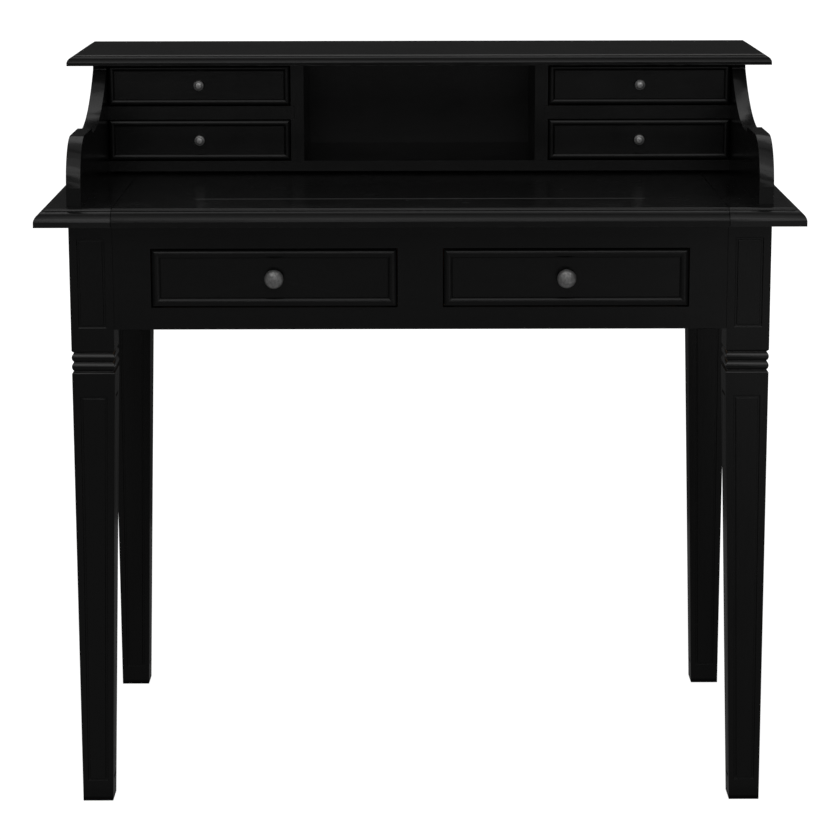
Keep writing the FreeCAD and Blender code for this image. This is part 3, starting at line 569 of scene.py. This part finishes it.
@dataclass(frozen=True)
class CastMetal:
    """Grey metal with a mottled skin, brighter where fingers rub it, and, where set, a dark dot and ring
    round its axis.
    """

    name: str
    dark: Colour
    light: Colour
    rub: Colour
    rough: float
    mottle_scale: float
    metallic: float
    groove: float = 0.0
    ring_colour: Colour = (0.05, 0.05, 0.0495)
    wear: float = 0.6
    rub_reach: float = 0.9 * MM
    mottle_range: tuple[float, float] = (0.36, 0.64)
    rough_range: tuple[float, float] = (0.1, -0.06)
    relief: float = 0.06 * MM

    @functools.cache
    def material(self, grain: Grain) -> bpy.types.Material:
        """Build the metal.

        Args:
            grain: not used by a metal; it is there so that every finish is asked in the same way.

        Returns:
            The material.
        """
        material, graph, shader, place = new_material(self.name)
        film = graph.effect(Effect.PAINT_FILM, Place=place, Peel_Scale=self.mottle_scale)
        edges = graph.effect(Effect.RUBBED_EDGES, Place=place, Reach=self.rub_reach, Amount=self.wear)
        mottled = graph.spread(film.outputs["Peel"], *self.mottle_range)
        skin = graph.blend(mottled, self.dark, self.light)
        if self.groove > 0:
            across = graph.add("TexCoord").outputs["Generated"]
            turned = graph.effect(Effect.AXIS_RINGS, Place=across)
            ring_mix = graph.number("MULTIPLY", turned.outputs["Groove"], self.groove)
            skin = graph.blend(ring_mix, skin, self.ring_colour)
        graph.put(shader, "Base Color", graph.blend(edges.outputs["Rubbed"], skin, self.rub))
        roughest, smoothest = (self.rough + change for change in self.rough_range)
        graph.put(shader, "Roughness", graph.spread(mottled, 0.0, 1.0, roughest, smoothest))
        shader.inputs["Metallic"].default_value = self.metallic
        raise_surface(graph, shader, mottled, self.relief)
        return material


Finish = Union[BlackPaint, BareWood, CastMetal]

# Bands of painted highlight, with a clear coat: the desk's and the hutch top's arrises, the legs' beads
# and the hutch sides' sweeps.
DESK_ARRIS = PolishAndHighlight("desk_top_panel", depth=2.6 * MM, strength=0.45)
HUTCH_ARRIS = PolishAndHighlight("hutch_top", depth=1.6 * MM, strength=1.0)
LEG_BEADS = PolishAndHighlight("leg_front_left", depth=228.0 * MM, strength=0.9)
SIDE_SWEEP = PolishAndHighlight("hutch_side_left", depth=195.0 * MM, strength=0.35)

SATIN_BLACK = BlackPaint("satin_black", gloss=0.21)
BRIDGED_BLACK = BlackPaint("bridged_black", gloss=0.21, wear=0.0)
LEG_BLACK = BlackPaint("leg_black", gloss=0.21, polish_and_highlight=LEG_BEADS)
SIDE_BLACK = BlackPaint("side_black", gloss=0.21, polish_and_highlight=SIDE_SWEEP)
DESK_BLACK = BlackPaint("desk_black", gloss=0.22, polish_and_highlight=DESK_ARRIS)
END_BLACK = BlackPaint("end_black", gloss=0.22, specular=0.7, polish_and_highlight=DESK_ARRIS)
# The hutch top's undercoat colour is light, so its rubbed edges are wear with a painted highlight, and
# its arris a painted highlight.
HUTCH_TOP_BLACK = BlackPaint("hutch_top_black", gloss=0.15, undercoat_and_highlight=(0.15, 0.149, 0.146),
                             polish_and_highlight=HUTCH_ARRIS)
DRAWER_WOOD = BareWood("drawer_wood", early=(0.42, 0.24, 0.12), late=(0.25, 0.125, 0.055),
                       pore=(0.09, 0.045, 0.02))
FRAME_WOOD = BareWood("frame_wood", early=(0.50, 0.34, 0.20), late=(0.34, 0.21, 0.11),
                      pore=(0.15, 0.085, 0.04), rough=0.7)
PEWTER = CastMetal("pewter", dark=(0.38, 0.379, 0.376), light=(0.60, 0.597, 0.593),
                   rub=(0.76, 0.756, 0.75), rough=0.44, mottle_scale=260.0, metallic=0.65)
# The small knobs' pewter is a much lighter copy of the pewter: painted light, standing in for the light
# they catch.
PEWTER_PAINTED_LIGHTER = CastMetal("pewter_painted_lighter", dark=(0.76, 0.758, 0.752), light=(0.94, 0.937, 0.93),
                          rub=(0.95, 0.946, 0.94), rough=0.42, mottle_scale=330.0, metallic=0.6,
                          groove=0.75)
STEEL = CastMetal("steel", dark=(0.38, 0.375, 0.36), light=(0.55, 0.54, 0.52),
                  rub=(0.66, 0.65, 0.63), rough=0.32, mottle_scale=1500.0, metallic=1.0)


WELD_REACH = 0.002 * MM
EDGE_SEGMENTS = 3
SHARP_ANGLE = math.radians(40)


def soften_edges(piece: bpy.types.Object, radius: float) -> None:
    """Round the sharp edges of a piece a little, as sandpaper and paint do.

    Args:
        piece: CAD node.
        radius: radius of the rounding in metres.
    """
    weld = piece.modifiers.new("weld", "WELD")
    weld.merge_threshold = WELD_REACH
    bevel = piece.modifiers.new("soft_edges", "BEVEL")
    bevel.width = radius
    bevel.segments = EDGE_SEGMENTS
    bevel.limit_method = "ANGLE"
    bevel.angle_limit = SHARP_ANGLE
    bevel.use_clamp_overlap = True
    bevel.harden_normals = True


@dataclass
class SubAssembly:
    """Pieces that are made and painted together."""

    edge: float = 0.8 * MM

    def dress(self, node: str, finish: Finish, grain: Grain, edge: Optional[float] = None) -> None:
        """Soften a CAD node's edges and give it its finish.

        Args:
            node: name of the CAD node.
            finish: finish of the piece.
            grain: direction of its fibres.
            edge: radius of its edges in metres, where it isn't the sub-assembly's own; 0 leaves them
                sharp.
        """
        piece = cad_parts[node]
        radius = self.edge if edge is None else edge
        if radius > 0:
            soften_edges(piece, radius)
        piece.data.materials.clear()
        piece.data.materials.append(finish.material(grain))
        LOG.info("%s in %s", node, finish.name)

    def build(self) -> None:
        """Finish every piece of the sub-assembly."""
        raise NotImplementedError


@dataclass
class Legs(SubAssembly):
    """Four tapered legs."""

    def build(self) -> None:
        """Paint the legs, with their grain upright."""
        for end in ("front", "back"):
            for side in Side:
                self.dress(f"leg_{end}_{side.value}", LEG_BLACK, Grain.ALONG_Z)


@dataclass
class Apron(SubAssembly):
    """Rails, stiles and aprons under the desk top."""

    def build(self) -> None:
        """Paint the frame and the aprons along their length; the paint bridges the frame's joints."""
        self.dress("back_apron", SATIN_BLACK, Grain.ALONG_X)
        for side in Side:
            self.dress(f"side_apron_{side.value}", SATIN_BLACK, Grain.ALONG_Y)
        for node in ("front_top_rail", "front_bottom_rail", "front_end_stiles", "front_centre_stile"):
            self.dress(node, BRIDGED_BLACK, Grain.ALONG_X, edge=0.0)


@dataclass
class DeskTop(SubAssembly):
    """Writing surface with its breadboard ends."""

    edge: float = 0.5 * MM

    def build(self) -> None:
        """Paint the panel along its width and the ends across it."""
        self.dress("desk_top_panel", DESK_BLACK, Grain.ALONG_X)
        for side in Side:
            self.dress(f"breadboard_end_{side.value}", END_BLACK, Grain.ALONG_Y)


@dataclass
class Hutch(SubAssembly):
    """Raised back: shaped sides, boards, dividers and back panel."""

    edge: float = 0.4 * MM
    side_edge: float = 1.0 * MM

    def build(self) -> None:
        """Paint each board along its length."""
        self.dress("hutch_top", HUTCH_TOP_BLACK, Grain.ALONG_X)
        for node in ("hutch_bottom", "hutch_shelf_left", "hutch_shelf_right"):
            self.dress(node, SATIN_BLACK, Grain.ALONG_X)
        for side in Side:
            self.dress(f"hutch_side_{side.value}", SIDE_BLACK, Grain.ALONG_Y, edge=self.side_edge)
            self.dress(f"hutch_divider_{side.value}", SATIN_BLACK, Grain.ALONG_Z)
        self.dress("hutch_back", SATIN_BLACK, Grain.ALONG_X, edge=0.0)


@dataclass
class InnerWork(SubAssembly):
    """Bare wood and screws that hold the desk together from inside."""

    edge: float = 0.5 * MM

    def build(self) -> None:
        """Finish the runners, blocks and buttons as sawn wood, and the screws as steel."""
        for node in ("drawer_runners", "drawer_guides", "drawer_kickers", "drawer_stops", "top_buttons"):
            self.dress(node, FRAME_WOOD, Grain.ALONG_Y)
        for node in ("corner_blocks", "hutch_dowels"):
            self.dress(node, FRAME_WOOD, Grain.ALONG_Z)
        for node in ("top_button_screws", "hutch_back_screws"):
            self.dress(node, STEEL, Grain.ALONG_X, edge=0.0)


@dataclass
class Drawer(SubAssembly):
    """One drawer: painted front with its beading, bare box and metal knob."""

    name: str = ""
    box_parts: tuple[str, ...] = ()
    knob: CastMetal = PEWTER
    edge: float = 0.6 * MM

    def build(self) -> None:
        """Paint the front and beading, leave the box bare and give the knob its metal."""
        self.dress(self.name + "_front", SATIN_BLACK, Grain.ALONG_X)
        for part in self.box_parts:
            grain = Grain.ALONG_X if part == "back" else Grain.ALONG_Y
            self.dress(f"{self.name}_{part}", DRAWER_WOOD, grain)
        self.dress(self.name + "_beading", SATIN_BLACK, Grain.ALONG_X, edge=0.0)
        self.dress(self.name + "_knob", self.knob, Grain.ALONG_Y, edge=0.0)


DESK_MIDDLE: Point = (0.0, -0.1, 0.8)
LIGHT_WIDTH = 6.0


@dataclass(frozen=True)
class SoftBox:
    """Studio light with a rectangular face."""

    name: str
    place: Point
    aim: Point
    width: float
    height: float
    power: float

    @classmethod
    def card(cls, name: str, x: float, y: float, width: float, depth: float, power: float,
             lift: float = 0.005) -> "SoftBox":
        """Lay a light on the floor, facing up.

        Args:
            name: name of the light.
            x: place of its middle across the desk.
            y: place of its middle from front to back.
            width: size across the desk.
            depth: size from front to back.
            power: power in watts.
            lift: height above the floor.

        Returns:
            The light.
        """
        return cls(name, (x, y, lift), (x, y, 1.0), width, depth, power)

    @classmethod
    def strip(cls, name: str, y: float, z: float, height: float, power: float) -> "SoftBox":
        """Hang a long light across the desk's width, aimed at the desk's middle.

        Args:
            name: name of the light.
            y: place from front to back.
            z: height of its middle above the floor.
            height: size of its short side.
            power: power in watts.

        Returns:
            The light.
        """
        return cls(name, (0.0, y, z), DESK_MIDDLE, LIGHT_WIDTH, height, power)

    def build(self) -> bpy.types.Object:
        """Hang the light.

        Returns:
            The light.
        """
        lamp = bpy.data.lights.new(self.name, "AREA")
        lamp.shape = "RECTANGLE"
        lamp.size = self.width
        lamp.size_y = self.height
        lamp.energy = self.power
        light = bpy.data.objects.new(self.name, lamp)
        light.location = self.place
        light.visible_camera = False
        way = Vector(self.aim) - Vector(self.place)
        light.rotation_euler = way.to_track_quat("-Z", "Y").to_euler()
        bpy.context.scene.collection.objects.link(light)
        return light


@dataclass
class Studio:
    """Pale floor, soft light and the photograph's camera."""

    floor_half: float = 40.0
    floor_colour: Colour = (0.55, 0.55, 0.55)
    floor_rough: float = 0.9
    glow_near: float = 0.97
    glow_far: float = 1.12
    glow_reach: tuple[float, float] = (0.8, 3.0)
    sky: Colour = (0.027, 0.027, 0.027)
    camera_place: Point = (-0.00867, -3.8260, 1.2490)
    yaw: float = math.radians(0.13)
    pitch: float = math.radians(-11.78)
    roll: float = math.radians(-0.10)
    lens: float = 122.58
    lights: tuple[SoftBox, ...] = (
        SoftBox.card("floor_under", 0.0, 0.45, LIGHT_WIDTH, 1.5, 1.6),
        SoftBox.card("floor_near", 0.0, -1.2, LIGHT_WIDTH, 1.8, 2.68),
        SoftBox.card("floor_middle", 0.0, -3.0, LIGHT_WIDTH, 1.8, 2.31),
        SoftBox.card("floor_far", 0.0, -5.0, LIGHT_WIDTH, 2.2, 5.68),
        SoftBox.card("floor_right", 1.4, -3.2, 1.3, 4.4, 3.54, lift=0.006),
        SoftBox.strip("front_low", -4.5, 1.15, 0.7, 4.55),
        SoftBox.strip("front_middle", -4.1, 2.65, 0.75, 9.9),
        SoftBox.strip("front_high", -3.5, 3.45, 1.0, 14.04),
        SoftBox.strip("front_top", -2.5, 4.2, 1.4, 8.95),
        SoftBox.strip("overhead_front", -1.2, 4.6, 1.4, 5.25),
        SoftBox.strip("overhead_back", 0.7, 4.6, 1.6, 4.52),
        SoftBox.strip("back_top", 2.3, 4.1, 1.6, 11.46),
        SoftBox.strip("back_high", 3.3, 3.2, 1.2, 5.68),
        SoftBox("rear_left", (-3.6, 3.4, 0.5), (0.0, 0.0, 0.5), 2.4, 0.8, 12.0),
        SoftBox("rear_right", (3.6, 3.4, 0.5), (0.0, 0.0, 0.5), 2.4, 0.8, 12.0),
        SoftBox.card("floor_rear_left", -2.0, 2.7, 2.4, 3.2, 3.2),
        SoftBox.card("floor_rear_right", 2.0, 2.7, 2.4, 3.2, 3.2),
    )

    def build_floor(self) -> None:
        """Lay the pale floor, which the paint doesn't mirror."""
        half = self.floor_half
        mesh = bpy.data.meshes.new("floor")
        corners = [(-half, -half, 0), (half, -half, 0), (half, half, 0), (-half, half, 0)]
        mesh.from_pydata(corners, [], [(0, 1, 2, 3)])
        floor = bpy.data.objects.new("floor", mesh)
        floor.visible_glossy = False
        floor.visible_diffuse = False
        bpy.context.scene.collection.objects.link(floor)
        material, graph, shader, place = new_material("pale_floor")
        shader.inputs["Base Color"].default_value = (*self.floor_colour, 1.0)
        shader.inputs["Roughness"].default_value = self.floor_rough
        shader.inputs["Specular IOR Level"].default_value = 0.0
        shader.inputs["Emission Strength"].default_value = self.glow_far
        away = graph.vector("LENGTH", place, (0.0, 0.0, 0.0))
        glow = graph.spread(away, *self.glow_reach, self.glow_near / self.glow_far, 1.0)
        graph.put(shader, "Emission Color", glow)
        mesh.materials.append(material)

    def build_light(self) -> None:
        """Hang the soft boxes in a dim room."""
        for light in self.lights:
            light.build()
        world = bpy.data.worlds.new("dim_room")
        world.use_nodes = True
        world.node_tree.nodes["Background"].inputs["Color"].default_value = (*self.sky, 1.0)
        bpy.context.scene.world = world
        bpy.context.scene.view_settings.view_transform = "Standard"

    def build_camera(self) -> None:
        """Set the camera where the photograph was taken from."""
        run = math.cos(self.pitch)
        ahead = Vector((math.sin(self.yaw) * run, math.cos(self.yaw) * run, math.sin(self.pitch)))
        level = Vector((math.cos(self.yaw), -math.sin(self.yaw), 0.0))
        upright = level.cross(ahead)
        right = math.cos(self.roll) * level + math.sin(self.roll) * upright
        up = math.cos(self.roll) * upright - math.sin(self.roll) * level
        data = bpy.data.cameras.new("camera")
        data.lens = self.lens
        data.clip_end = 100.0
        camera = bpy.data.objects.new("camera", data)
        turn = Matrix((right, up, -ahead)).transposed()
        camera.matrix_world = Matrix.Translation(self.camera_place) @ turn.to_4x4()
        bpy.context.scene.collection.objects.link(camera)
        bpy.context.scene.camera = camera

    def build(self) -> None:
        """Build the floor, the lights and the camera."""
        self.build_floor()
        self.build_light()
        self.build_camera()


def main() -> None:
    """Dress the desk, sub-assembly by sub-assembly, and set it in the studio."""
    logging.basicConfig(level=logging.INFO, format="%(name)s: %(message)s")
    wide = [Drawer(name=f"wide_drawer_{side.value}", box_parts=("sides", "back", "bottom"))
            for side in Side]
    small = [Drawer(name=f"small_drawer_{tier.value}_{side.value}", box_parts=("box",),
                    knob=PEWTER_PAINTED_LIGHTER)
             for tier in Tier for side in Side]
    for assembly in [Legs(), Apron(), DeskTop(), Hutch(), InnerWork(), *wide, *small]:
        assembly.build()
    Studio().build()


if __name__ == "__main__":
    main()
